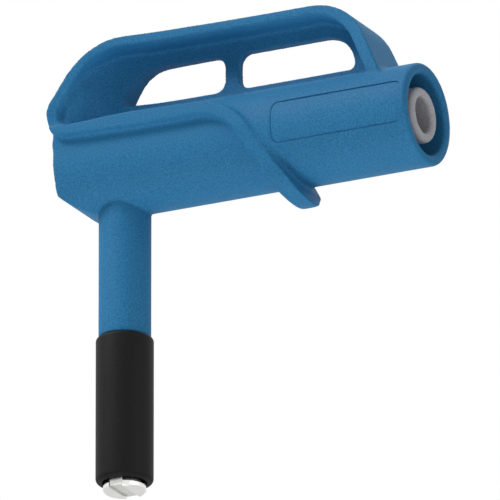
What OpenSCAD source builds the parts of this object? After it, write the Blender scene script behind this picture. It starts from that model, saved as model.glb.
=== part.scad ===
// Right-angle magnetic test adapter with a shrouded 4 mm socket.
// Millimetres, +Z up along the stem, +X along the barrel towards the socket mouth.
// Origin: stem axis, in the plane of the sleeve's lower end.

/* [Layout] */
// Height of the barrel's axis over the sleeve's lower end
barrel_h = 40.4; // [36:0.1:50]
// Distance from the stem's axis to the socket mouth
reach = 40.8; // [38:0.1:50]
// Distance from the stem's axis to the flat rear wall
back = 6.6; // [6:0.1:8]

/* [Barrel] */
// Outside diameter of the barrel in front of the finger guard
barrel_d = 12.6; // [12:0.1:15]
// Width of the body behind the finger guard
body_w = 12.0; // [11.8:0.1:12.6]
// Diameter of the shroud that takes the plug's rigid sleeve
shroud_d = 9.9; // [9.2:0.1:11]
// Depth of the shroud from the mouth
shroud_depth = 22.8; // [18:0.1:24]
// Rounding of the mouth's edges
mouth_round = 0.5; // [0.2:0.1:0.8]
// Length of the blank field on each side of the barrel
field_len = 17.3; // [10:0.1:20]
// Distance of the field from the mouth
field_end = 0.8; // [0.7:0.1:3]
// Depth of the field
field_depth = 0.15; // [0.1:0.05:0.3]
// Corner radius of the field
field_round = 0.9; // [0.3:0.1:1.5]

/* [Socket] */
// Bore of the socket contact
contact_bore = 4.0; // [4:0.05:4.2]
// Outside diameter of the socket contact
contact_d = 5.2; // [5:0.1:5.6]
// Outside diameter of the insulator round the contact
insulator_d = 6.8; // [6.4:0.1:7.2]
// Diametral clearance of the insulator's front lip over the contact's bore
lip_play = 0.3; // [0.25:0.05:0.6]
// Thickness of the insulator's front lip
lip_t = 2.2; // [1:0.1:2.5]
// Depth of the contact's bore
contact_depth = 23.0; // [18:0.1:24]
// Distance of the insulator's face behind the mouth
insulator_inset = 0.4; // [0:0.1:1]

/* [Grip] */
// Height of the grip's top over the barrel's axis
grip_h = 14.9; // [13.5:0.05:17]
// Half width of the rim along the grip's top
rim_w = 4.0; // [3.6:0.1:5]
// Half width of the rim at the rear end and of the finger guard
guard_w = 7.0; // [6.8:0.1:7.6]
// Thickness of the rim at the rear and on top
rim_t = 1.15; // [1:0.05:1.8]
// Thickness of the front leg
leg_t = 1.6; // [1.3:0.05:2.2]
// Thickness of the finger guard
guard_t = 1.65; // [1.4:0.05:2.4]
// Height of the flange's middle over the barrel's axis
flange_h = 3.35; // [2.8:0.05:3.8]
// Depth of the finger guard's end below the barrel's axis
guard_drop = 8.9; // [8:0.05:11]
// Half thickness of the web between the rim's sides
web_t = 0.65; // [0.5:0.05:1]
// Lower edge of the windows over the barrel's axis
window_low = 7.2; // [6.8:0.1:7.6]
// Height of the windows
window_h = 4.65; // [4.3:0.05:5.2]
// Width of the post between the windows
post_w = 1.8; // [1.4:0.1:3]

/* [Stem] */
// Outside diameter of the stem
stem_d = 6.35; // [6.2:0.05:6.8]
// Outside diameter of the end sleeve
sleeve_d = 7.0; // [6.9:0.05:7.6]
// Length of the end sleeve
sleeve_len = 18.4; // [17.5:0.1:24]
// Diameter of the contact head
head_d = 5.2; // [5:0.05:5.3]
// Distance that the contact head stands out of the sleeve
head_proud = 1.1; // [0.9:0.1:1.6]
// Thickness of the pole pieces' faces, above which they are cut back to a neck
face_t = 0.7; // [0.4:0.1:0.8]
// Travel of the sprung contact head
head_travel = 1.0; // [0.6:0.1:1.2]
// Distance between the two pole pieces of the contact head
slot_w = 1.75; // [1.4:0.05:2]
// Distance of the magnet's face behind the pole pieces' faces
magnet_inset = 0.25; // [0.1:0.05:0.5]
// Length of the bar magnet across the contact head
magnet_len = 4.75; // [4:0.05:4.8]
// Thickness of the sleeve's lower lip, which keeps the contact head in
lip_len = 1.25; // [1:0.05:2]
// Thickness of the pole pieces' collar
collar_t = 0.8; // [0.6:0.1:1.2]
// Diameter of the plunger that carries the pole pieces
plunger_d = 4.4; // [4:0.1:4.6]
// Wire diameter of the contact spring
wire_d = 0.35; // [0.25:0.05:0.4]
// Turns of the contact spring
spring_turns = 5; // [4:1:7]

/* [Conductor] */
// Diameter of the two conductor rods
rod_d = 3.0; // [2.5:0.1:3.1]
// Diameter of the junction block
block_d = 6.1; // [5.6:0.1:6.4]
// Diameter of the grub screws
screw_d = 2.0; // [1.6:0.1:2]
// Length of the grub screws
screw_len = 1.4; // [1:0.1:1.5]

/* [Hidden] */

gap = 0.05; // clearance between parts that are pushed together
run = 0.06; // radial clearance of the sliding contact head
round_fn = 96;
e = 0.01;

blue = "#2f76a8";
black = "#232323";
grey = "#b4b2ae";
nickel = "#d5d5d2";
brass = "#c9a95c";
white = "#ece9e2";

// Stack along the stem, from the tip upwards
collar_low = lip_len + 0.1;
collar_top = collar_low + collar_t;
tongue_low = collar_top - 0.55;
tail_top = collar_top + 5.45;
guide_low = collar_top + head_travel + 0.2;
guide_seat = tail_top + head_travel + 3.2;
guide_top = guide_seat + 1.8;
spigot_low = guide_top + gap;
stem_top = barrel_h - 3.4;
rod_top = barrel_h + 2.4;

// Diameters round the stem, from the head outwards
collar_d = head_d + 0.4;
neck_d = head_d - 0.9;
spigot_d = collar_d + 0.1;
sleeve_od = max(sleeve_d, spigot_d + 1.2);
stem_od = max(stem_d, spigot_d + 0.4);
liner_d = rod_d + 1.2;
spring_d = plunger_d - 1.7;
pilot_d = spring_d - wire_d - 0.6;
block_od = max(block_d, rod_d + 2 * (screw_len + 3 * gap));
insulator_od = max(insulator_d, contact_d + 2 * gap + 1);
spring_low = tail_top + gap + wire_d / 2;
spring_high = guide_seat - gap - wire_d / 2;

// Stack along the barrel, from the rear to the mouth
block_rear_x = -rod_d / 2 - screw_len - 0.2;
block_front_x = 6.1;
seat_x = 8.05;
link_x = rod_d / 2 + 0.25;
front_screw_x = 4;
contact_rear_x = 11.5;
contact_front_x = reach - insulator_inset - lip_t - gap;
thread_end_x = contact_rear_x + 2.8;
contact_bore_x = max(contact_front_x - contact_depth, thread_end_x + 0.6);
shroud_x = max(reach - shroud_depth, seat_x + 3);
seat_d = insulator_od + 2 * gap;
mouth_r = min(mouth_round, (barrel_d - shroud_d) / 4);

// Grip outline in the plane of the web, x from the stem's axis and z from the barrel's axis
rear_x = -7.2;
top_z = grip_h - rim_t / 2;
leg_foot = [reach - 4.2, 2.6];
leg_lean = 0.443;
top_front = [leg_foot.x - leg_lean * (top_z - leg_foot.y), top_z];
rear_lean = 0.7;
top_rear = [rear_x + 6.15, top_z];
low_rear = [top_rear.x - rear_lean * (top_z - flange_h), flange_h];
flange_mid = [rear_x + 11, flange_h];
flange_t = guard_t + 0.2;
guard_lean = 0.62;
guard_end = -guard_drop - 1;
guard_foot = [reach - 16.2 + guard_lean, guard_end];
guard_top_z = flange_h - 0.2;
guard_top = [guard_foot.x - guard_lean * (guard_top_z - guard_end), guard_top_z];

corners = [leg_foot, top_front, top_rear, low_rear, flange_mid, guard_top, guard_foot];
corner_r = [0, 7, 6, 2.4, 0, 8, 0];
corner_t = [
  [leg_t, leg_t], [leg_t, rim_t], [rim_t, rim_t], [rim_t + 0.15, rim_t + 0.15],
  [flange_t, flange_t], [guard_t, guard_t], [guard_t, guard_t]
];

function unit(v) = v / norm(v);
function turn90(v) = [-v.y, v.x];

// Points round one corner of a path: an arc that touches both of its straight runs
function corner_arc(a, p, b, r, steps) =
  r == 0 ? [p] :
  let (
    u = unit(a - p),
    v = unit(b - p),
    half = acos(u * v) / 2,
    centre = p + unit(u + v) * r / sin(half),
    start = p + u * r / tan(half) - centre,
    side = sign(cross(start, p + v * r / tan(half) - centre))
  )
  [for (i = [0:steps]) let (w = side * (180 - 2 * half) * i / steps)
    centre + [start.x * cos(w) - start.y * sin(w), start.x * sin(w) + start.y * cos(w)]];

// The middle line of the rim: points with the thickness there as a third number
function rim_line(steps = 10) = [
  for (i = [0:len(corners) - 1])
    let (
      a = corners[max(0, i - 1)], b = corners[min(len(corners) - 1, i + 1)],
      arc = corner_arc(a, corners[i], b, corner_r[i], steps), t = corner_t[i]
    )
      for (k = [0:len(arc) - 1]) [arc[k].x, arc[k].y, t[0] + (t[1] - t[0]) * k / max(1, len(arc) - 1)]
];

function flat2(p) = [p.x, p.y];
function heading(line, i) =
  unit(flat2(line[min(len(line) - 1, i + 1)]) - flat2(line[max(0, i - 1)]));

// A band of the thickness given along a line
function band(line) = concat(
  [for (i = [0:len(line) - 1]) flat2(line[i]) + turn90(heading(line, i)) * line[i].z / 2],
  [for (i = [len(line) - 1:-1:0]) flat2(line[i]) - turn90(heading(line, i)) * line[i].z / 2]
);

// Half width of the rim in plan, wide at the rear and a little wider at the front foot
function rim_half(x) =
  rim_w + (guard_w - rim_w) * exp(-(x - rear_x) / 8.2) + max(0, x - reach + 8) * 0.11;

// Half thickness of the web in plan, which sweeps out into the rear wall
function web_half(x) = min(guard_w - 1.2, web_t + 1.85 * exp(-(x - rear_x - 6.4) / 3));

plan_x = [for (i = [0:32]) rear_x - 0.6 + i * (reach + 7) / 32];

// Puts a flat outline of x and z upright, as a slab of the half width given about the web
module upright(half) {
  translate([0, 0, barrel_h]) rotate([90, 0, 0]) linear_extrude(2 * half, center = true) children();
}

// Puts a flat outline of x and y at the barrel's height, from z = low to high
module plan(low, high) {
  translate([0, 0, barrel_h + low]) linear_extrude(high - low) children();
}

// Puts a flat outline of y and z across the barrel, from x = low to high
module across(low, high) {
  translate([low, 0, barrel_h]) rotate([90, 0, 90]) linear_extrude(high - low) children();
}

// Lays a part that is made along +Z on the barrel's axis, starting at x
module along_barrel(x) {
  translate([x, 0, barrel_h]) rotate([0, 90, 0]) children();
}

module turned(profile) {
  rotate_extrude($fn = round_fn) polygon(profile);
}

// A tube or rod along +Z with chamfered outer edges
module rod(d, low, high, bevel = 0.15) {
  turned([
    [0, low], [d / 2 - bevel, low], [d / 2, low + bevel],
    [d / 2, high - bevel], [d / 2 - bevel, high], [0, high]
  ]);
}

module bore(d, low, high) {
  translate([0, 0, low]) cylinder(d = d, h = high - low, $fn = round_fn);
}

/* Housing */

window_top = window_low + window_h;
post_x = 14.75;
front_window_end = reach - 9.4;

module rounded(box_min, box_max, r) {
  for (x = [box_min.x + r, box_max.x - r], y = [box_min.y + r, box_max.y - r])
    translate([x, y]) circle(r, $fn = 32);
  translate([box_min.x + r, box_min.y]) square([box_max.x - box_min.x - 2 * r, box_max.y - box_min.y]);
  translate([box_min.x, box_min.y + r]) square([box_max.x - box_min.x, box_max.y - box_min.y - 2 * r]);
}

// The rear window follows the rear slope of the rim
module rear_window() {
  rear_low = [rear_x + 6.9, window_low];
  rear_high = [rear_x + 10.2, window_top];
  end = post_x - post_w / 2;
  polygon(concat(
    corner_arc([end, window_low], rear_low, rear_high, 0.7, 6),
    corner_arc(rear_low, rear_high, [end, window_top], 5, 12),
    corner_arc(rear_high, [end, window_top], [end, window_low], 1.75, 8),
    corner_arc([end, window_top], [end, window_low], rear_low, 1.4, 8)
  ));
}

module front_window() {
  start = post_x + post_w / 2;
  low_front = [front_window_end, window_low];
  high_front = [front_window_end - 0.65, window_top];
  polygon(concat(
    corner_arc([start, window_top], [start, window_low], low_front, 1.5, 8),
    corner_arc([start, window_low], low_front, high_front, 0.8, 6),
    corner_arc(low_front, high_front, [start, window_top], 4.2, 12),
    corner_arc(high_front, [start, window_top], [start, window_low], 1.4, 8)
  ));
}

module web() {
  inside = [for (p = rim_line()) if (p.y > flange_h - 0.01) flat2(p)];
  difference() {
    intersection() {
      upright(guard_w) polygon(concat(inside, [[rear_x + 5, 0], [reach - 8, 0]]));
      plan(0, grip_h) polygon(concat(
        [for (x = plan_x) [x, web_half(x)]],
        [for (i = [len(plan_x) - 1:-1:0]) [plan_x[i], -web_half(plan_x[i])]]
      ));
    }
    upright(guard_w + 1) rear_window();
    upright(guard_w + 1) front_window();
  }
}

// Outline of the finger guard seen along the barrel: it narrows to a round lower end
module guard_outline() {
  r = guard_w - 1;
  mid = r - guard_drop;
  start = atan2(-mid, guard_w) - acos(r / norm([guard_w, mid]));
  side = [for (i = [0:20]) let (w = start - (90 + start) * i / 20) [r * cos(w), mid + r * sin(w)]];
  top = flange_h + flange_t / 2 + e;
  polygon(concat(
    [[guard_w, top], [guard_w, 0]],
    side,
    [for (i = [19:-1:0]) [-side[i].x, side[i].y]],
    [[-guard_w, 0], [-guard_w, top]]
  ));
}

module rim() {
  intersection() {
    upright(guard_w) polygon(band(rim_line()));
    union() {
      plan(flange_h + flange_t / 2, grip_h + 1) polygon(concat(
        [for (x = plan_x) [x, rim_half(x)]],
        [for (i = [len(plan_x) - 1:-1:0]) [plan_x[i], -rim_half(plan_x[i])]]
      ));
      across(rear_x - 1, reach - 12) guard_outline();
    }
  }
}

// The body behind the finger guard: a half-round trough under the flange
module rear_body() {
  low_slope = 3.8;
  intersection() {
    across(-back, guard_foot.x) {
      circle(d = body_w, $fn = round_fn);
      translate([-body_w / 2, 0]) square([body_w, flange_h]);
    }
    upright(guard_w) polygon([
      [-back, flange_h], [-back, -low_slope], [-back + 4.1, -body_w / 2 - e],
      [guard_foot.x - guard_lean * 3, -body_w / 2 - e], [guard_top.x + 2, 0],
      [guard_top.x - 1, flange_h - 1], [guard_top.x - 4, flange_h]
    ]);
  }
  // the rear wall runs up into the rim's round corner
  across(-back, -back + 1) translate([-body_w / 2, 0]) square([body_w, flange_h + 0.6]);
}

// Cuts the barrel off behind the finger guard, where the narrower body takes over
module behind_guard() {
  upright(barrel_d) polygon([
    [-back - 10, -barrel_d], [guard_foot.x - 1, -barrel_d], [guard_foot.x - guard_lean * 3, -body_w / 2],
    [guard_top.x + 2, 0], [guard_top.x - 1, flange_h - 1], [guard_top.x - 4, flange_h], [-back, flange_h],
    [-back, barrel_d], [-back - 10, barrel_d]
  ]);
}

module barrel() {
  r = barrel_d / 2;
  steps = 5;
  along_barrel(0) turned(concat(
    [[0, -back], [r, -back]],
    [for (i = [0:steps]) let (w = 90 * i / steps)
      [r - mouth_r + mouth_r * cos(w), reach - mouth_r + mouth_r * sin(w)]],
    [[0, reach]]
  ));
}

module shroud() {
  r = shroud_d / 2;
  steps = 5;
  along_barrel(0) turned(concat(
    [[0, shroud_x], [r, shroud_x]],
    [for (i = [0:steps]) let (w = 90 * i / steps)
      [r + mouth_r - mouth_r * cos(w), reach - mouth_r + mouth_r * sin(w)]],
    [[r + mouth_r, reach + 1], [0, reach + 1]]
  ));
}

// A shallow blank field with round corners on each side of the barrel
module field() {
  half_angle = 25;
  low = [reach - field_end - field_len, -barrel_d / 2 * sin(half_angle)];
  intersection() {
    along_barrel(0) difference() {
      bore(barrel_d + 1, low.x, reach);
      bore(barrel_d - 2 * field_depth, low.x - 1, reach + 1);
    }
    for (side = [-1, 1]) translate([0, side * barrel_d / 2, barrel_h]) rotate([90, 0, 0])
      linear_extrude(barrel_d / 2, center = true)
        rounded(low, [reach - field_end, -low.y], field_round);
  }
}

module housing() {
  color(blue) difference() {
    union() {
      rear_body();
      difference() {
        barrel();
        behind_guard();
      }
      rim();
      web();
    }
    shroud();
    along_barrel(0) bore(seat_d, seat_x, shroud_x + 1);
    along_barrel(0) bore(block_od + 2 * gap, block_rear_x - gap, seat_x + 1);
    bore(stem_od + 2 * gap, 0, stem_top + gap);
    bore(liner_d + 2 * gap, stem_top - 1, barrel_h);
    bore(rod_d + 2 * gap, barrel_h, rod_top + gap);
    field();
  }
}

/* Stem */

module stem_tube() {
  color(blue) difference() {
    union() {
      bore(spigot_d, spigot_low, sleeve_len + 1);
      rod(stem_od, sleeve_len + gap, stem_top, 0.2);
    }
    bore(liner_d + 2 * gap, 0, barrel_h);
  }
}

module stem_liner() {
  color(white) difference() {
    rod(liner_d, spigot_low, barrel_h - block_od / 2 - gap, 0.1);
    bore(rod_d + 2 * gap, 0, barrel_h);
  }
}

module end_sleeve() {
  r = sleeve_od / 2;
  bore_r = spigot_d / 2 + gap;
  lip_r = head_d / 2 + 0.08;
  foot = 0.5;
  top = 0.4;
  steps = 4;
  color(black) turned(concat(
    [[lip_r + 0.1, 0]],
    [for (i = [0:steps]) let (w = 90 * i / steps) [r - foot + foot * sin(w), foot - foot * cos(w)]],
    [for (i = [0:steps]) let (w = 90 * i / steps) [r - top + top * cos(w), sleeve_len - top + top * sin(w)]],
    [[bore_r, sleeve_len], [bore_r, lip_len], [lip_r, lip_len], [lip_r, 0.1]]
  ));
}

/* Contact head */

// Two half-round steel poles with the bar magnet between them, a half neck and a half collar each
module pole_pieces() {
  r = head_d / 2;
  edge = 0.2;
  neck_low = face_t - head_proud;
  color(nickel) difference() {
    turned([
      [0, -head_proud], [r - edge, -head_proud], [r, edge - head_proud], [r, neck_low],
      [neck_d / 2, neck_low], [neck_d / 2, collar_low], [collar_d / 2, collar_low],
      [collar_d / 2, collar_top], [0, collar_top]
    ]);
    translate([-slot_w / 2, -head_d, -head_proud - 1])
      cube([slot_w, 2 * head_d, collar_top + head_proud + 2]);
  }
}

module head_magnet() {
  half = slot_w / 2 - gap;
  low = magnet_inset - head_proud;
  high = tongue_low - gap;
  edge = 0.15;
  y = magnet_len / 2;
  color(nickel) translate([-half, 0, 0]) rotate([90, 0, 90]) linear_extrude(2 * half) polygon([
    [-y, low + edge], [edge - y, low], [y - edge, low], [y, low + edge],
    [y, high - edge], [y - edge, high], [edge - y, high], [-y, high - edge]
  ]);
}

// Turned brass plunger with a tongue that seats between the poles and a pin that centres the spring
module contact_plunger() {
  bevel = 0.15;
  r = plunger_d / 2;
  color(brass) {
    turned([
      [0, collar_top + gap], [r - bevel, collar_top + gap], [r, collar_top + gap + bevel],
      [r, tail_top - bevel], [r - bevel, tail_top], [pilot_d / 2, tail_top],
      [pilot_d / 2, tail_top + 1.2 - bevel], [pilot_d / 2 - bevel, tail_top + 1.2], [0, tail_top + 1.2]
    ]);
    translate([gap - slot_w / 2, 0.4 - r, tongue_low])
      cube([slot_w - 2 * gap, 2 * r - 0.8, collar_top - tongue_low + 0.3]);
  }
}

/* Spring */

wire_sides = 8;
turn_steps = 14;

function coil(i) =
  let (w = 360 * i / turn_steps, steps = spring_turns * turn_steps)
  [for (k = [0:wire_sides - 1]) let (a = 360 * k / wire_sides, r = (spring_d + wire_d * cos(a)) / 2)
    [r * cos(w), r * sin(w), spring_low + (spring_high - spring_low) * i / steps + wire_d / 2 * sin(a)]];

module contact_spring() {
  rings = spring_turns * turn_steps;
  last = rings * wire_sides;
  color(nickel) polyhedron(
    points = [for (i = [0:rings]) each coil(i)],
    faces = concat(
      [[for (k = [0:wire_sides - 1]) k]],
      [for (i = [0:rings - 1], k = [0:wire_sides - 1])
        let (a = i * wire_sides + k, b = i * wire_sides + (k + 1) % wire_sides)
          [a, a + wire_sides, b + wire_sides, b]],
      [[for (k = [wire_sides - 1:-1:0]) last + k]]
    )
  );
}

/* Conductor */

module plunger_guide() {
  color(brass) difference() {
    rod(spigot_d, guide_low, guide_top, 0.2);
    bore(plunger_d + 2 * run, 0, guide_seat);
    bore(rod_d + gap, 0, barrel_h);
  }
}

module stem_rod() {
  color(brass) rod(rod_d, guide_seat, rod_top, 0.2);
}

module junction_block() {
  color(brass) difference() {
    along_barrel(0) rod(block_od, block_rear_x, block_front_x, 0.3);
    bore(rod_d + gap, 0, rod_top + 1);
    along_barrel(0) bore(rod_d + gap, link_x - gap, reach);
    along_barrel(0) bore(screw_d + gap, block_rear_x - 1, -1);
    translate([front_screw_x, 0, 0]) bore(screw_d + gap, barrel_h + 1, barrel_h + 5);
  }
}

// A slotless grub screw with a hexagon socket, made along +Z with its tip at z = 0
module grub_screw() {
  difference() {
    rod(screw_d, 0, screw_len, 0.2);
    translate([0, 0, screw_len - 0.8]) cylinder(d = 1.05, h = 1, $fn = 6);
  }
}

module junction_screws() {
  color(black) {
    translate([-rod_d / 2 - gap, 0, barrel_h]) rotate([0, -90, 0]) grub_screw();
    translate([front_screw_x, 0, barrel_h + rod_d / 2 + gap]) grub_screw();
  }
}

module link_rod() {
  color(brass) along_barrel(0) rod(rod_d, link_x, thread_end_x - gap, 0.2);
}

module lock_nut() {
  low = block_front_x + 3 * gap;
  high = seat_x;
  color(brass) along_barrel(0) difference() {
    rod(contact_d - 0.1, low, high, 0.2);
    bore(rod_d + gap, 0, reach);
    for (w = [0, 90]) rotate(w) translate([-0.5, -contact_d, low - 1]) cube([1, 2 * contact_d, 1.6]);
  }
}

module contact_bush() {
  color(white) along_barrel(0) difference() {
    rod(contact_d, seat_x + gap, contact_rear_x - gap, 0.2);
    bore(rod_d + 2 * gap, 0, reach);
  }
}

module socket_contact() {
  lead_in = 0.3;
  r = contact_bore / 2;
  color(nickel) along_barrel(0) difference() {
    rod(contact_d, contact_rear_x, contact_front_x, 0.2);
    bore(contact_bore, contact_bore_x, reach);
    turned([
      [0, contact_front_x - lead_in], [r, contact_front_x - lead_in],
      [r + lead_in, contact_front_x], [r + lead_in, reach], [0, reach]
    ]);
    bore(rod_d + gap, 0, thread_end_x);
  }
}

module socket_insulator() {
  r = insulator_od / 2;
  front = reach - insulator_inset;
  bore_r = contact_d / 2 + gap;
  lip_r = (contact_bore + lip_play) / 2;
  outer = 0.55;
  inner = 0.5;
  steps = 4;
  color(grey) along_barrel(0) turned(concat(
    [[bore_r, seat_x + gap], [r, seat_x + gap]],
    [for (i = [0:steps]) let (w = 90 * i / steps)
      [r - outer + outer * cos(w), front - outer + outer * sin(w)]],
    [for (i = [0:steps]) let (w = 90 * i / steps)
      [lip_r + inner - inner * sin(w), front - inner + inner * cos(w)]],
    [[lip_r, front - lip_t], [bore_r, front - lip_t]]
  ));
}

housing();
stem_tube();
stem_liner();
end_sleeve();
pole_pieces();
head_magnet();
contact_plunger();
contact_spring();
plunger_guide();
stem_rod();
junction_block();
junction_screws();
link_rod();
lock_nut();
contact_bush();
socket_contact();
socket_insulator();
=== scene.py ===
import math

import bpy
import numpy as np
from mathutils import Euler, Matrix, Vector


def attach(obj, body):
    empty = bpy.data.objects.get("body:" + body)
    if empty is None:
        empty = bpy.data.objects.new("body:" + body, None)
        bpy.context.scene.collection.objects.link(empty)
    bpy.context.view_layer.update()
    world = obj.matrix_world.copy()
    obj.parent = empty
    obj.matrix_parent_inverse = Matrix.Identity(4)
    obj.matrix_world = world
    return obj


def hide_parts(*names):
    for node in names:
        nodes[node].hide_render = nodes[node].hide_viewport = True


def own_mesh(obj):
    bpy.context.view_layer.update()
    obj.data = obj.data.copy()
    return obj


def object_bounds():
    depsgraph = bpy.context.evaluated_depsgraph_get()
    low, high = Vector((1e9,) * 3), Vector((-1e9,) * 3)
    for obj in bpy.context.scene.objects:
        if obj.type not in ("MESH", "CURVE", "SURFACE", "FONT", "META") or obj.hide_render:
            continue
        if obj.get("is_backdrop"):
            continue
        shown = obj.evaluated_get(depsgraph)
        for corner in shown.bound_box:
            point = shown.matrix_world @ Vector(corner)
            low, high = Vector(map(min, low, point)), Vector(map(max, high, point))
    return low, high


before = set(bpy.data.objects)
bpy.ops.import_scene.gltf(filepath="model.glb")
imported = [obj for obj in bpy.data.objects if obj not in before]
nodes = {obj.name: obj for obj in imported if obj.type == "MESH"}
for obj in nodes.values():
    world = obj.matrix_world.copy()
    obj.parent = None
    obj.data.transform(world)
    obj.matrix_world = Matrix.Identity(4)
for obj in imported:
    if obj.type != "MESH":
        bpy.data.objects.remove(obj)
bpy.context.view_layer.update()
# Lengths are in millimetres unless a comment says otherwise: x from the stem's axis towards the mouth,
# y across the barrel, z from the sleeve's lower end, and "above" from the barrel's axis
mm = 0.001
barrelHeight = 40.4  # of the barrel's axis over the sleeve's lower end
turnSteps = 128  # faces round a turned piece
weldGap = 0.0005  # points nearer than this become one
print("frame loaded:", len(nodes), "nodes")


def workOn(*pieces):
    # selects only these pieces, the last one active, in object mode
    if bpy.context.mode != "OBJECT":
        bpy.ops.object.mode_set(mode="OBJECT")
    bpy.ops.object.select_all(action="DESELECT")
    for piece in pieces:
        piece.select_set(True)
    bpy.context.view_layer.objects.active = pieces[-1]


def settle(piece, name):
    # puts a piece's place, turn and scale into its mesh
    workOn(piece)
    bpy.ops.object.transform_apply(location=True, rotation=True, scale=True)
    piece.name = name
    return piece


def turned(name, profile, along="stem"):
    # turns a profile of (radius, distance) round the stem's or the barrel's axis
    def place(radius, distance):
        if along == "stem":
            return Vector((radius, 0, distance)) * mm
        return Vector((distance, 0, barrelHeight + radius)) * mm

    points = [place(*p) for p in profile]
    workOn(nodes["housing"])
    bpy.ops.mesh.primitive_plane_add(size=mm, location=points[0])
    piece = bpy.context.active_object
    bpy.ops.object.mode_set(mode="EDIT")
    bpy.ops.mesh.select_mode(type="VERT")
    bpy.ops.mesh.select_all(action="SELECT")
    bpy.ops.mesh.merge(type="CENTER")
    for a, b in zip(points, points[1:]):
        bpy.ops.mesh.extrude_region_move(TRANSFORM_OT_translate={"value": b - a})
    bpy.ops.mesh.select_all(action="SELECT")
    if along == "stem":
        centre, axis = (0, 0, 0), (0, 0, 1)
    else:
        centre, axis = (0, 0, barrelHeight * mm), (1, 0, 0)
    bpy.ops.mesh.spin(steps=turnSteps, angle=2 * math.pi, center=centre, axis=axis)
    bpy.ops.mesh.select_all(action="SELECT")
    bpy.ops.mesh.remove_doubles(threshold=weldGap * mm)
    bpy.ops.mesh.normals_make_consistent(inside=False)
    return settle(piece, name)


def roundBar(name, radius, low, high, along="barrel"):
    # a plain solid bar, to fill or to cut with
    return turned(name, [(0, low), (radius, low), (radius, high), (0, high)], along)


def roundCorner(centre, radius, start, end, steps=6):
    # points of an arc in (radius, distance), angles in degrees from the outward direction
    return [
        (
            centre[0] + radius * math.cos(math.radians(start + (end - start) * i / steps)),
            centre[1] + radius * math.sin(math.radians(start + (end - start) * i / steps)),
        )
        for i in range(steps + 1)
    ]


def apply(piece, modifier):
    workOn(piece)
    bpy.ops.object.modifier_apply(modifier=modifier.name)


def cutWith(piece, cutter):
    cut = piece.modifiers.new("cut", "BOOLEAN")
    cut.operation = "DIFFERENCE"
    cut.solver = "MANIFOLD"
    cut.object = cutter
    apply(piece, cut)
    bpy.data.objects.remove(cutter)


def copyOf(nodeName, name):
    # a merged copy of a CAD node's mesh, to be worked on
    piece = bpy.data.objects.new(name, nodes[nodeName].data.copy())
    bpy.context.scene.collection.objects.link(piece)
    workOn(piece)
    bpy.ops.object.mode_set(mode="EDIT")
    bpy.ops.mesh.select_all(action="SELECT")
    bpy.ops.mesh.remove_doubles(threshold=weldGap * mm)
    bpy.ops.object.mode_set(mode="OBJECT")
    return piece


def smoothEdges(piece, angle=30):
    # shades edges flatter than this angle, in degrees, as one surface
    workOn(piece)
    bpy.ops.object.shade_smooth_by_angle(angle=math.radians(angle))


def breakEdges(piece, width, segments=3, angle=40):
    # small round on every sharp edge of a machined piece
    bevel = piece.modifiers.new("edges", "BEVEL")
    bevel.width = width * mm
    bevel.segments = segments
    bevel.limit_method = "ANGLE"
    bevel.angle_limit = math.radians(angle)
    bevel.use_clamp_overlap = True
    apply(piece, bevel)
    smoothEdges(piece, angle)


def adopt(piece, body, nodeName):
    # hands a finished piece to the frame in place of its CAD node
    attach(piece, body)
    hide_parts(nodeName)


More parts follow.
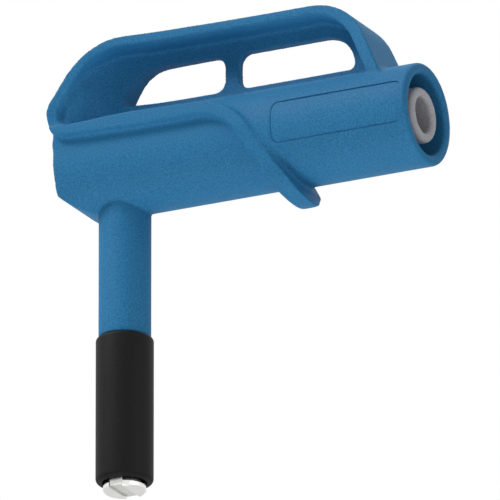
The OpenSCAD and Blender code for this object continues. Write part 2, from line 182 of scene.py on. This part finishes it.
# Housing: moulded shell with soft edges, made from the frame's own solid. "rear" and "front" are limits
# of x, "bottom" and "top" are limits above the barrel's axis
housing = {
    "barrelRadius": 6.3,
    "stemRadius": 3.175,
    "reach": 40.8,  # x of the barrel's mouth
    # fills of the bores and the blank fields, which are cut again with crisp edges
    "fieldFill": (24, 40.2),  # x from and to
    "boreFill": {"start": -4, "radius": 4.2, "step": 18, "mouthRadius": 5.3, "end": 40.75},
    "stemFill": (31, 40),  # z from and to
    # fill of the gap between the web's front end and the front leg
    "webHalf": 0.65,  # half thickness of the web
    "rootAlong": (32.5, 34.4),  # x of the web's last stretch before the front leg
    "rootAbove": (6.0, 8.9),
    # new even mesh
    "voxel": 0.15,
    "askew": (17, 23, 31),  # degrees
    "keep": 0.44,  # share of the faces that stay at the end
    # smoothing of every edge
    "edgePasses": 9,
    "windowShare": 0.3,  # share of it at the windows, whose edges are crisper
    "windowZone": {"rear": -1, "front": 32, "bottom": 6.4, "top": 12.6, "halfWidth": 1.6},
    "lipShare": 0.5,  # share of it at the lip round the rear pocket
    "lipZone": {"front": 12, "bottom": 2, "halfWidth": 2.5},
    # further smoothing of inner corners only
    "hollowPasses": 26,
    "hollowSpread": 4,  # steps by which the smoothed strip widens and then fades
    "hollowDepth": 0.15,  # times the voxel's size squared, is how deep a corner counts in full
    "hollowGrowth": 1.5,  # how much of a point's weight its neighbours take on in a step
    "stemZone": {"radius": 4.6, "top": -4},  # where the stem enters, left crisp
    # further smoothing where the finger guard's front side sweeps into the barrel, where the surface
    # faces forwards at least a little
    "guardPasses": 70,
    "guardSpread": 7,
    "guardZone": {"rear": 13, "top": 3.5, "facing": 0.1},
    # further smoothing of the finger guard's lower end
    "tipPasses": 60,
    "tipZone": {"rear": 18, "top": -6.6, "blend": 0.8},
    # bores and mouth
    "mouthRound": 0.6,
    "barrelBore": {  # starts and ends are x, and it is cut past the mouth
        "blockEnd": -3.15, "blockRadius": 3.1, "seatStart": 8.05, "seatRadius": 3.45,
        "shroudStart": 18, "shroudRadius": 4.95, "past": 1,
    },
    "stemBore": {  # start and stops are z
        "start": 20, "radius": 3.18, "stop": 37.05, "linerRadius": 2.15, "linerStop": 40.4,
        "rodRadius": 1.55, "rodStop": 42.85,
    },
    # blank recessed fields, one on each side
    "fieldLength": 17.3,
    "fieldEnd": 0.8,  # from the mouth
    "fieldAngle": 25,  # degrees up and down from the barrel's middle
    "fieldDepth": 0.15,
    "fieldCorner": 0.9,
    "fieldPlate": 16,  # width of the cutting plate, more than the barrel's
    "fieldCore": (15, 45),  # x from and to of the core that sets the fields' floor
    "smoothAngle": 32,  # degrees
    # the moulded outline isn't straight between its corners: by how much each side swells out, its outward
    # direction, a point on it as (x, above), and how deep under it the swelling fades
    "slope": {  # rear slope of the rim
        "amount": 0.45, "out": (-1, 0.7), "point": (-1.05, 14.3), "fade": 3,
        "bottom": 6.8, "length": 8.1, "front": 8,
    },
    "heel": {  # slanted heel under the rear wall, swelling from a little before the point
        "amount": 0.5, "out": (-0.52, -0.854), "point": (-6.9, -3.8), "fade": 3,
        "lead": 0.4, "length": 5.6, "front": 3,
    },
    "wall": {  # rear wall
        "amount": 0.18, "out": (-1, 0), "point": (-6.6, 0), "fade": 3,
        "bottom": -5, "top": 3.2, "blend": 1.5, "front": 0,
    },
    "bead": {  # lower rear corner of the rim
        "amount": 0.5, "out": (-0.5, -1), "point": (-7, 2.6), "fade": 1.5,
        "bottom": 1.4, "length": 4, "front": -5, "blend": 1.2,
    },
    # underside of the body, in full at this depth under the axis
    "belly": {"amount": 0.15, "deep": 6, "front": 24, "blend": 2},
    # the guard's lower end: the foot and the lean of its middle line, and by how much its rear side
    # swells out and its front side goes back
    "guardEnd": {
        "foot": (25.2, -8.9), "lean": 0.62, "halfWidth": 3, "widthBlend": 1.2, "sideBlend": 0.7,
        "rearSwell": 0.7, "rearTop": -5.0, "rearBlend": 0.6,
        "frontTrim": 0.22, "frontTop": -6.6, "frontBlend": 0.6,
    },
}


def meshPoints(piece):
    # the mesh's points in mm
    points = np.empty(len(piece.data.vertices) * 3)
    piece.data.vertices.foreach_get("co", points)
    return points.reshape(-1, 3) / mm


def ramp(values, start, length):
    # rises from 0 at start to 1 after the length, which is negative where it rises downwards or
    # backwards
    return np.clip((values - start) / length, 0, 1)


def nearWindow(points, zone):
    # the web round the two windows
    x, y, above = points[:, 0], points[:, 1], points[:, 2] - barrelHeight
    inHeight = (above > zone["bottom"]) & (above < zone["top"])
    return (np.abs(y) < zone["halfWidth"]) & inHeight & (x > zone["rear"]) & (x < zone["front"])


def onLip(points, zone):
    # the rim's sides round the rear pocket
    x, y, above = points[:, 0], points[:, 1], points[:, 2] - barrelHeight
    return (x < zone["front"]) & (np.abs(y) > zone["halfWidth"]) & (above > zone["bottom"])


def hollowWeights(shell, s, spread, zone=None):
    # finds the inner corners by how far a point lies below its neighbours; a zone keeps only those at
    # the finger guard's front
    mesh = shell.data
    count = len(mesh.vertices)
    points = meshPoints(shell)
    above = points[:, 2] - barrelHeight
    normals = np.empty(count * 3)
    mesh.vertices.foreach_get("normal", normals)
    normals = normals.reshape(-1, 3)
    ends = np.empty(len(mesh.edges) * 2, int)
    mesh.edges.foreach_get("vertices", ends)
    a, b = ends.reshape(-1, 2).T
    neighbours = np.bincount(a, minlength=count) + np.bincount(b, minlength=count)

    def mean(values):
        return (np.bincount(a, values[b], count) + np.bincount(b, values[a], count)) / neighbours

    ring = np.stack([mean(points[:, k]) for k in range(3)], 1)
    depth = ((ring - points) * normals).sum(1)
    weight = np.clip(depth / (s["voxel"] ** 2 * s["hollowDepth"]), 0, 1)
    fromStem = np.hypot(points[:, 0], points[:, 1])
    nearStem = (fromStem < s["stemZone"]["radius"]) & (above < s["stemZone"]["top"])
    weight[nearStem | nearWindow(points, s["windowZone"])] = 0
    if zone:
        outside = (points[:, 0] < zone["rear"]) | (above > zone["top"]) | (normals[:, 0] < zone["facing"])
        weight[outside] = 0
    for _ in range(spread):
        weight = np.maximum(weight, mean(weight) * s["hollowGrowth"]).clip(0, 1)
    for _ in range(spread):
        weight = mean(weight)
    return np.where(nearStem, 0, weight)


def soften(shell, passes, weight, levelCount=10):
    # smooths each point by its weight, in even levels
    group = shell.vertex_groups.new(name="soft")
    levels = np.round(weight * levelCount).astype(int)
    for level in range(1, levelCount + 1):
        group.add(np.nonzero(levels == level)[0].tolist(), level / levelCount, "REPLACE")
    smooth = shell.modifiers.new("soften", "SMOOTH")
    smooth.factor = 0.5
    smooth.iterations = passes
    smooth.vertex_group = group.name
    apply(shell, smooth)
    shell.vertex_groups.clear()


def swell(shell, s):
    points = meshPoints(shell)
    x = points[:, 0].copy()
    above = points[:, 2] - barrelHeight

    def push(side, share):
        # full down to 1 mm under the side, then fading
        out = np.array(side["out"]) / math.hypot(*side["out"])
        depth = (x - side["point"][0]) * out[0] + (above - side["point"][1]) * out[1]
        amount = side["amount"] * share * np.clip(1 + (depth + 1) / side["fade"], 0, 1)
        points[:, 0] += amount * out[0]
        points[:, 2] += amount * out[1]

    slope, heel, wall, bead, belly = (s[k] for k in ("slope", "heel", "wall", "bead", "belly"))
    up = ramp(above, slope["bottom"], slope["length"])
    push(slope, np.sin(math.pi * up) ** 2 * (x < slope["front"]))

    out, start = heel["out"], heel["point"]
    down = (start[0] - x) * out[1] + (above - start[1]) * out[0]
    along = ramp(down, -heel["lead"], heel["length"])
    push(heel, np.sin(math.pi * along) * (x < heel["front"]))

    guard = s["guardEnd"]
    beside = x - guard["foot"][0] + guard["lean"] * (above - guard["foot"][1])
    onGuard = ramp(above, guard["rearTop"], -guard["rearBlend"])
    onGuard = onGuard * ramp(np.abs(beside), guard["halfWidth"], -guard["widthBlend"])
    onFront = onGuard * ramp(above, guard["frontTop"], -guard["frontBlend"])
    points[:, 0] -= guard["rearSwell"] * onGuard * ramp(beside, 0, -guard["sideBlend"])
    points[:, 0] -= guard["frontTrim"] * onFront * ramp(beside, 0, guard["sideBlend"])

    onWall = ramp(above, wall["bottom"], wall["blend"]) * ramp(above, wall["top"], -wall["blend"])
    push(wall, onWall * (x < wall["front"]))
    onBead = ramp(x, bead["front"], -bead["blend"])
    push(bead, onBead * np.sin(math.pi * ramp(above, bead["bottom"], bead["length"])))
    onBelly = ramp(above, 0, -belly["deep"]) * ramp(x, belly["front"], -belly["blend"])
    points[:, 2] -= belly["amount"] * onBelly
    shell.data.vertices.foreach_set("co", (points * mm).ravel())
    shell.data.update()


def makeRootFill(s):
    # closes the gap that the CAD solid leaves between the web's front end and the front leg
    (x0, x1), (low, high) = s["rootAlong"], s["rootAbove"]
    workOn(nodes["housing"])
    bpy.ops.mesh.primitive_cube_add(
        size=1,
        location=((x0 + x1) / 2 * mm, 0, ((low + high) / 2 + barrelHeight) * mm),
        scale=((x1 - x0) * mm, 2 * s["webHalf"] * mm, (high - low) * mm),
    )
    return settle(bpy.context.active_object, "fillRoot")


def makeBoreFill(fill):
    # wider than the bores and the shroud's space, and a little short of the mouth
    start, step, end = fill["start"], fill["step"], fill["end"]
    radius, mouthRadius = fill["radius"], fill["mouthRadius"]
    return turned(
        "fillInner",
        [(0, start), (radius, start), (radius, step), (mouthRadius, step), (mouthRadius, end), (0, end)],
        "barrel",
    )


def remeshAskew(shell, s):
    # turned askew for the remesh, so that no long edge lies along the grid and comes out in steps
    askew = Euler([math.radians(angle) for angle in s["askew"]]).to_matrix().to_4x4()
    shell.matrix_world = askew
    bpy.ops.object.transform_apply(location=False, rotation=True, scale=False)
    remesh = shell.modifiers.new("grid", "REMESH")
    remesh.mode = "VOXEL"
    remesh.voxel_size = s["voxel"] * mm
    apply(shell, remesh)
    shell.matrix_world = askew.inverted()
    bpy.ops.object.transform_apply(location=False, rotation=True, scale=False)


def makeHousing(s):
    shell = copyOf("housing", "housingShell")
    fillers = [
        roundBar("fillOuter", s["barrelRadius"], *s["fieldFill"]),
        makeBoreFill(s["boreFill"]),
        roundBar("fillStem", s["stemRadius"], *s["stemFill"], "stem"),
        makeRootFill(s),
    ]
    workOn(*fillers, shell)
    bpy.ops.object.join()
    remeshAskew(shell, s)
    print("housing remeshed:", len(shell.data.vertices), "points")
    points = meshPoints(shell)
    share = np.where(onLip(points, s["lipZone"]), s["lipShare"], 1.0)
    share = np.where(nearWindow(points, s["windowZone"]), s["windowShare"], share)
    soften(shell, s["edgePasses"], share)
    soften(shell, s["hollowPasses"], hollowWeights(shell, s, s["hollowSpread"]))
    soften(shell, s["guardPasses"], hollowWeights(shell, s, s["guardSpread"], s["guardZone"]))
    swell(shell, s)
    points = meshPoints(shell)
    tip = s["tipZone"]
    onTip = ramp(points[:, 2] - barrelHeight, tip["top"], -tip["blend"]) * (points[:, 0] > tip["rear"])
    soften(shell, s["tipPasses"], onTip)
    thin = shell.modifiers.new("thin", "DECIMATE")
    thin.ratio = s["keep"]
    apply(shell, thin)
    return shell


def cutBores(shell, s):
    reach, edge = s["reach"], s["mouthRound"]
    b = s["barrelBore"]
    block, seat, shroud = b["blockRadius"], b["seatRadius"], b["shroudRadius"]
    barrelBore = turned(
        "barrelBore",
        [(0, b["blockEnd"]), (block, b["blockEnd"]), (block, b["seatStart"])]
        + [(seat, b["seatStart"]), (seat, b["shroudStart"]), (shroud, b["shroudStart"])]
        + roundCorner((shroud + edge, reach - edge), edge, 180, 90)
        + [(shroud + edge, reach + b["past"]), (0, reach + b["past"])],
        "barrel",
    )
    cutWith(shell, barrelBore)
    b = s["stemBore"]
    stemBore = turned(
        "stemBore",
        [(0, b["start"]), (b["radius"], b["start"]), (b["radius"], b["stop"])]
        + [(b["linerRadius"], b["stop"]), (b["linerRadius"], b["linerStop"])]
        + [(b["rodRadius"], b["linerStop"]), (b["rodRadius"], b["rodStop"]), (0, b["rodStop"])],
    )
    cutWith(shell, stemBore)


def cutFields(shell, s):
    # the blank fields: a plate with round corners through the barrel, hollow up to the fields' floor
    high = 2 * s["barrelRadius"] * math.sin(math.radians(s["fieldAngle"]))
    middle = s["reach"] - s["fieldEnd"] - s["fieldLength"] / 2
    workOn(shell)
    bpy.ops.mesh.primitive_cube_add(
        size=1,
        location=(middle * mm, 0, barrelHeight * mm),
        scale=(s["fieldLength"] * mm, s["fieldPlate"] * mm, high * mm),
    )
    plate = bpy.context.active_object
    bpy.ops.object.transform_apply(location=False, rotation=False, scale=True)
    bpy.ops.object.mode_set(mode="EDIT")
    bpy.ops.mesh.select_mode(type="EDGE")
    bpy.ops.mesh.select_all(action="DESELECT")
    bpy.ops.object.mode_set(mode="OBJECT")
    points = plate.data.vertices
    for edge in plate.data.edges:
        p, q = (points[i].co for i in edge.vertices)
        edge.select = abs(p.y - q.y) > mm  # those across the barrel
    bpy.ops.object.mode_set(mode="EDIT")
    bpy.ops.mesh.bevel(offset=s["fieldCorner"] * mm, segments=8)
    bpy.ops.object.mode_set(mode="OBJECT")
    settle(plate, "fieldPlate")
    core = roundBar("fieldCore", s["barrelRadius"] - s["fieldDepth"], *s["fieldCore"])
    cutWith(plate, core)
    cutWith(shell, plate)


housingShell = makeHousing(housing)
cutBores(housingShell, housing)
cutFields(housingShell, housing)
smoothEdges(housingShell, housing["smoothAngle"])
adopt(housingShell, "adapter", "housing")
print("housing shell:", len(housingShell.data.polygons), "faces")


# Stem: plain moulded tube, its upper end inside the housing and its spigot inside the sleeve
stem = {
    "radius": 3.175, "spigot": 2.85, "bore": 2.15, "low": 13.65, "step": 18.45, "high": 37.0,
    "edge": 0.2, "rings": (24, 30),  # the rings keep its long faces short
}


def makeStem(s):
    r, bore, step, high, edge = s["radius"], s["bore"], s["step"], s["high"], s["edge"]
    piece = turned(
        "stemTube",
        [(bore, s["low"]), (s["spigot"], s["low"]), (s["spigot"], step)]
        + roundCorner((r - edge, step + edge), edge, -90, 0)
        + [(r, z) for z in s["rings"]]
        + [(r, high - edge), (r - edge, high), (bore, high), (bore, s["low"])],
    )
    smoothEdges(piece)
    return piece


stemTube = makeStem(stem)
adopt(stemTube, "adapter", "stem_tube")

# End sleeve: moulded black tube with rounded ends
sleeve = {
    "radius": 3.5, "bore": 2.9, "lip": 2.68, "lipHeight": 1.25, "high": 18.4,
    "foot": 0.6, "top": 0.4, "lipEdge": 0.12, "rings": (6, 12),
}


def makeSleeve(s):
    r, lip, foot, top, edge = s["radius"], s["lip"], s["foot"], s["top"], s["lipEdge"]
    piece = turned(
        "endSleeve",
        roundCorner((lip + edge, edge), edge, 180, 270, steps=3)
        + roundCorner((r - foot, foot), foot, -90, 0, steps=8)
        + [(r, z) for z in s["rings"]]
        + roundCorner((r - top, s["high"] - top), top, 0, 90)
        + [(s["bore"], s["high"]), (s["bore"], s["lipHeight"]), (lip, s["lipHeight"]), (lip, edge)],
    )
    smoothEdges(piece)
    return piece


endSleeve = makeSleeve(sleeve)
adopt(endSleeve, "adapter", "end_sleeve")

# Insulator: moulded grey tube with a round front lip
insulator = {
    "radius": 3.4, "bore": 2.65, "lip": 2.15, "low": 8.1, "high": 40.4, "lipStart": 38.2,
    "edge": 0.62, "rings": (20, 30),
}


def makeInsulator(s):
    r, bore, lip, edge, high = s["radius"], s["bore"], s["lip"], s["edge"], s["high"]
    piece = turned(
        "socketInsulator",
        [(bore, s["low"]), (r, s["low"])]
        + [(r, x) for x in s["rings"]]
        + roundCorner((r - edge, high - edge), edge, 0, 90, steps=8)
        + roundCorner((lip + edge, high - edge), edge, 90, 180, steps=8)
        + [(lip, s["lipStart"]), (bore, s["lipStart"]), (bore, s["low"])],
        "barrel",
    )
    smoothEdges(piece)
    return piece


socketInsulator = makeInsulator(insulator)
adopt(socketInsulator, "adapter", "socket_insulator")

# Contact head: the two pole pieces and the magnet, with their edges broken
head = {"poleEdge": 0.07, "magnetEdge": 0.1}
polePieces = copyOf("pole_pieces", "polePieces")
breakEdges(polePieces, head["poleEdge"])
adopt(polePieces, "head", "pole_pieces")
barMagnet = copyOf("head_magnet", "barMagnet")
breakEdges(barMagnet, head["magnetEdge"])
adopt(barMagnet, "head", "head_magnet")

# Contact spring: the frame's spring, shaded smooth, with a mesh of its own
spring = {"upperEnd": 11.8, "lowerEnd": 7.65, "travel": 1.0, "smoothAngle": 40}
contactSpring = copyOf("contact_spring", "contactSpring")
smoothEdges(contactSpring, spring["smoothAngle"])
adopt(contactSpring, "adapter", "contact_spring")
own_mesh(contactSpring)
print("stem, sleeve, insulator, contact head and spring made")


# Materials. A colour mixing node has its two colours and its result at these places
mixFirst, mixSecond, mixResult = 6, 7, 2


def toLinear(hexColour):
    # sRGB hex to the linear values that the nodes take
    channels = [int(hexColour[i:i + 2], 16) / 255 for i in (1, 3, 5)]
    return [c / 12.92 if c <= 0.04045 else ((c + 0.055) / 1.055) ** 2.4 for c in channels] + [1]


def addNode(material, kind, settings=None, links=None):
    # settings: name of a property, or name or place of an input, to value; links: name or place of an
    # input to another node's output
    node = material.node_tree.nodes.new(kind)
    for key, value in (settings or {}).items():
        if isinstance(key, str) and key not in node.inputs:
            setattr(node, key, value)
        else:
            node.inputs[key].default_value = value
    for key, output in (links or {}).items():
        material.node_tree.links.new(output, node.inputs[key])
    return node


def newMaterial(name):
    # an empty material
    material = bpy.data.materials.new(name)
    material.use_nodes = True
    material.node_tree.nodes.clear()
    return material


def finishMaterial(material, shader):
    # makes the shader the material's surface
    output = addNode(material, "ShaderNodeOutputMaterial")
    material.node_tree.links.new(shader.outputs[0], output.inputs["Surface"])
    return material


# A moulded skin
mouldedSkin = {
    "toneSize": 5.0,
    "lowTone": 0.36,  # heights of the grain that have the dark and the light tone
    "highTone": 0.64,
    "toneShare": 0.6,  # how much of the mean tone the slow changes mix in
    "roughSpread": 0.06,  # by which the roughness moves about its mean
    "relief": 0.03,
}


def mouldedPlastic(name, base, light, dark, roughness, grain, bump, specular):
    # a fine even grain, a little paler on its tops, and slow tone changes
    s = mouldedSkin
    m = newMaterial(name)
    coords = addNode(m, "ShaderNodeTexCoord").outputs["Object"]
    fineSize = {"Scale": 1 / (grain * mm), "Detail": 3.0, "Roughness": 0.6}
    fine = addNode(m, "ShaderNodeTexNoise", fineSize, {"Vector": coords}).outputs["Fac"]
    slowSize = {"Scale": 1 / (s["toneSize"] * mm), "Detail": 2.0}
    slow = addNode(m, "ShaderNodeTexNoise", slowSize, {"Vector": coords}).outputs["Fac"]
    tones = addNode(m, "ShaderNodeValToRGB", None, {"Fac": fine})
    ends = ((s["lowTone"], dark), (s["highTone"], light))
    for element, (position, colour) in zip(tones.color_ramp.elements, ends):
        element.position = position
        element.color = toLinear(colour)
    share = addNode(m, "ShaderNodeMapRange", {"To Max": s["toneShare"]}, {"Value": slow})
    mix = addNode(
        m,
        "ShaderNodeMix",
        {"data_type": "RGBA", mixSecond: toLinear(base)},
        {mixFirst: tones.outputs["Color"], 0: share.outputs[0]},
    )
    spread = {"To Min": roughness - s["roughSpread"], "To Max": roughness + s["roughSpread"]}
    rough = addNode(m, "ShaderNodeMapRange", spread, {"Value": fine})
    height = {"Strength": bump, "Distance": s["relief"] * mm}
    relief = addNode(m, "ShaderNodeBump", height, {"Height": fine})
    shader = addNode(
        m,
        "ShaderNodeBsdfPrincipled",
        {"IOR": 1.5, "Specular IOR Level": specular},
        {"Base Color": mix.outputs[mixResult], "Roughness": rough.outputs[0], "Normal": relief.outputs[0]},
    )
    return finishMaterial(m, shader)


# A machined skin. Turning marks are about 0.05 mm apart and too fine to show, so they are drawn at
# 0.25 mm
turnedSkin = {
    "ringSize": 0.25,
    "cloudSize": 1.5,
    "smoother": 0.05,  # by which the roughness goes under its mean, and over it
    "rougher": 0.1,
    "bump": 0.25,
    "relief": 0.01,
}


def turnedMetal(name, base, dark, roughness, across):
    # fine marks, stretched along the directions where across is small, on a slightly uneven surface
    s = turnedSkin
    m = newMaterial(name)
    coords = addNode(m, "ShaderNodeTexCoord").outputs["Object"]
    stretch = addNode(m, "ShaderNodeMapping", {"Scale": across}, {"Vector": coords}).outputs[0]
    ringSize = {"Scale": 1 / (s["ringSize"] * mm), "Detail": 2.0}
    rings = addNode(m, "ShaderNodeTexNoise", ringSize, {"Vector": stretch}).outputs["Fac"]
    cloudSize = {"Scale": 1 / (s["cloudSize"] * mm), "Detail": 3.0}
    cloud = addNode(m, "ShaderNodeTexNoise", cloudSize, {"Vector": coords}).outputs["Fac"]
    tones = {"data_type": "RGBA", mixFirst: toLinear(dark), mixSecond: toLinear(base)}
    mix = addNode(m, "ShaderNodeMix", tones, {0: cloud})
    spread = {"To Min": roughness - s["smoother"], "To Max": roughness + s["rougher"]}
    rough = addNode(m, "ShaderNodeMapRange", spread, {"Value": rings})
    height = {"Strength": s["bump"], "Distance": s["relief"] * mm}
    relief = addNode(m, "ShaderNodeBump", height, {"Height": rings})
    shader = addNode(
        m,
        "ShaderNodeBsdfPrincipled",
        {"Metallic": 1.0},
        {"Base Color": mix.outputs[mixResult], "Roughness": rough.outputs[0], "Normal": relief.outputs[0]},
    )
    return finishMaterial(m, shader)


# Polyamide moulded in a spark-eroded tool: an even matt blue without highlights. The real grain is
# about 0.05 mm and too fine to show, so it is drawn at 0.2 mm
bluePolyamide = mouldedPlastic(
    "bluePolyamideMoulded", "#2c77a8", light="#3785b8", dark="#226994",
    roughness=0.6, grain=0.2, bump=0.6, specular=0.15,
)
# The same polyamide in black, from a finer tool: near black, with a faint soft sheen along the edges.
# Its grain and those of the next two are drawn coarser than the real ones too
blackPolyamide = mouldedPlastic(
    "blackPolyamideMoulded", "#151516", light="#1a1a1b", dark="#101011",
    roughness=0.55, grain=0.25, bump=0.25, specular=0.12,
)
# Polyamide moulded in a smooth tool: light cool grey with a soft satin sheen on the round lip
greyPolyamide = mouldedPlastic(
    "greyPolyamideMoulded", "#b4b4ba", light="#c0c0c6", dark="#a6a6ac",
    roughness=0.5, grain=0.3, bump=0.2, specular=0.25,
)
# PTFE turned from bar: waxy warm white, almost without grain
whitePolymer = mouldedPlastic(
    "whitePtfeTurned", "#e6e3dc", light="#efece6", dark="#dcd8d0",
    roughness=0.5, grain=0.3, bump=0.2, specular=0.3,
)
# Free-cutting steel, turned and nickel plated: bright and slightly warm, its reflections softly blurred
platedSteel = turnedMetal(
    "nickelPlatedSteelTurned", "#f2f1ee", dark="#e4e3e0", roughness=0.3, across=(0.15, 0.15, 1.0)
)
# Sintered magnet, ground and nickel plated: a little darker and without direction
platedMagnet = turnedMetal(
    "nickelPlatedMagnet", "#e2e2e0", dark="#d2d2d0", roughness=0.32, across=(0.6, 0.6, 0.6)
)
# Brass, bored and nickel plated, its base darkened to a dull grey: painted shade for its place deep in the
# socket
platedBrassDarkened = turnedMetal(
    "nickelPlatedBrassPaintedShade", "#a8a6a2", dark="#908e8a", roughness=0.42, across=(1.0, 0.15, 0.15)
)
# Brass, turned and left bare: warm yellow with a soft shine
bareBrass = turnedMetal(
    "brassTurned", "#d8b76a", dark="#c19d4f", roughness=0.3, across=(0.3, 0.3, 1.0)
)
# Steel screws, hardened and blackened: dark grey, dull shine
blackSteel = turnedMetal(
    "steelBlackened", "#3a3a3c", dark="#2c2c2e", roughness=0.4, across=(1.0, 1.0, 1.0)
)
# Spring steel, drawn: cool light grey with a soft shine
springWire = turnedMetal(
    "springSteelDrawn", "#c9c9c8", dark="#b5b5b4", roughness=0.3, across=(1.0, 1.0, 0.2)
)

finishes = {
    "housing": bluePolyamide, "stem_tube": bluePolyamide, "stem_liner": whitePolymer,
    "end_sleeve": blackPolyamide, "pole_pieces": platedSteel, "head_magnet": platedMagnet,
    "contact_plunger": bareBrass, "contact_spring": springWire, "plunger_guide": bareBrass,
    "stem_rod": bareBrass, "junction_block": bareBrass, "junction_screws": blackSteel,
    "link_rod": bareBrass, "lock_nut": bareBrass, "contact_bush": whitePolymer,
    "socket_contact": platedBrassDarkened, "socket_insulator": greyPolyamide,
}
dressed = {nodes[name]: material for name, material in finishes.items()}
dressed.update({
    housingShell: bluePolyamide, stemTube: bluePolyamide, endSleeve: blackPolyamide,
    socketInsulator: greyPolyamide, polePieces: platedSteel, barMagnet: platedMagnet,
    contactSpring: springWire,
})
for piece, material in dressed.items():
    piece.data.materials.clear()
    piece.data.materials.append(material)
print("materials set")


# Camera, as the photograph was taken: from in front, to the right and below
shot = {
    "azimuth": 27.0,  # degrees
    "elevation": -20.0,
    "pixelsPerMm": 8.3,
    "pictureSize": 500,  # pixels
    "aim": (11.81, 9.94, 31.09),
    "lens": 1600.0,  # long, as the photograph has almost no perspective
    "sensor": 36.0,
    "nearest": 0.1,  # m
    "furthest": 20,
}


def placeCamera(s):
    azimuth, elevation = math.radians(s["azimuth"]), math.radians(s["elevation"])
    back = Vector((
        math.sin(azimuth) * math.cos(elevation),
        -math.cos(azimuth) * math.cos(elevation),
        math.sin(elevation),
    ))
    width = s["pictureSize"] / s["pixelsPerMm"]
    distance = width * s["lens"] / s["sensor"]
    bpy.ops.object.camera_add(location=(Vector(s["aim"]) + back * distance) * mm)
    camera = bpy.context.active_object
    camera.data.lens = s["lens"]
    camera.data.sensor_width = s["sensor"]
    camera.rotation_euler = (-back).to_track_quat("-Z", "Y").to_euler()
    camera.data.clip_start = s["nearest"]
    camera.data.clip_end = s["furthest"]
    bpy.context.scene.camera = camera


placeCamera(shot)

# Floor, a pale light table: it passes the low lamps' light, and it is clear from below,
# because the photograph looks up at the object
floorSettings = {
    "size": 6.0,  # m
    "below": 90,  # under the object's lowest point
    "colour": "#e9e9e8",
    "glow": 0.5,  # share of its own light in what the camera sees
}


def makeFloor(s):
    workOn(housingShell)
    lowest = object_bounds()[0].z - s["below"] * mm
    bpy.ops.mesh.primitive_plane_add(size=s["size"], location=(0, 0, lowest))
    floor = settle(bpy.context.active_object, "floor")
    m = newMaterial("paleFloor")
    colour = {"Color": toLinear(s["colour"])}
    diffuse = addNode(m, "ShaderNodeBsdfDiffuse", colour)
    shine = addNode(m, "ShaderNodeEmission", colour)
    path = addNode(m, "ShaderNodeLightPath").outputs
    seen = addNode(m, "ShaderNodeMapRange", {"To Max": s["glow"]}, {"Value": path["Is Camera Ray"]})
    higher = {"operation": "MAXIMUM"}
    glow = addNode(m, "ShaderNodeMath", higher, {0: seen.outputs[0], 1: path["Is Glossy Ray"]})
    matt = addNode(
        m, "ShaderNodeMixShader", None, {"Fac": glow.outputs[0], 1: diffuse.outputs[0], 2: shine.outputs[0]}
    )
    clear = addNode(m, "ShaderNodeBsdfTransparent")
    below = addNode(m, "ShaderNodeNewGeometry").outputs["Backfacing"]
    passing = addNode(m, "ShaderNodeMath", higher, {0: below, 1: path["Is Shadow Ray"]})
    mix = addNode(
        m, "ShaderNodeMixShader", None, {"Fac": passing.outputs[0], 1: matt.outputs[0], 2: clear.outputs[0]}
    )
    floor.data.materials.append(finishMaterial(m, mix))
    floor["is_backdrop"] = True


makeFloor(floorSettings)

# Light: an even white room, the main lamp high at the left, and weaker soft lamps above, at the right,
# below and behind; places and sizes in m, power in W
lightSettings = {
    "room": 0.03,
    "aim": (0.015, 0, 0.03),
    "lamps": [
        {"from": (-0.55, -0.5, 0.75), "size": 0.25, "power": 6.5},
        {"from": (-0.05, -0.4, 0.88), "size": 0.3, "power": 1.8},
        {"from": (0.9, -0.2, 0.1), "size": 0.5, "power": 2.4},
        {"from": (-0.1, -0.4, -0.85), "size": 0.5, "power": 3.7},
        {"from": (0.0, 0.45, 0.8), "size": 0.6, "power": 1.0},
    ],
}


def makeRoom(strength):
    # white where the camera or a mirror-like surface looks at it, and weak as a light
    world = bpy.data.worlds.new("room")
    bpy.context.scene.world = world
    world.use_nodes = True
    world.node_tree.nodes.clear()
    path = addNode(world, "ShaderNodeLightPath").outputs
    higher = {"operation": "MAXIMUM"}
    seen = addNode(world, "ShaderNodeMath", higher, {0: path["Is Camera Ray"], 1: path["Is Glossy Ray"]})
    seen = addNode(world, "ShaderNodeMath", higher, {0: seen.outputs[0], 1: path["Is Transmission Ray"]})
    levels = {"To Min": strength, "To Max": 1.0}
    level = addNode(world, "ShaderNodeMapRange", levels, {"Value": seen.outputs[0]})
    white = {"Color": (1, 1, 1, 1)}
    background = addNode(world, "ShaderNodeBackground", white, {"Strength": level.outputs[0]})
    addNode(world, "ShaderNodeOutputWorld", None, {"Surface": background.outputs[0]})


def placeLamps(s):
    for lamp in s["lamps"]:
        start = Vector(lamp["from"])
        bpy.ops.object.light_add(type="AREA", location=start)
        light = bpy.context.active_object
        light.data.size = lamp["size"]
        light.data.energy = lamp["power"]
        light.rotation_euler = (Vector(s["aim"]) - start).to_track_quat("-Z", "Y").to_euler()


makeRoom(lightSettings["room"])
placeLamps(lightSettings)
bpy.context.scene.view_settings.view_transform = "Standard"
print("camera, floor and light set")
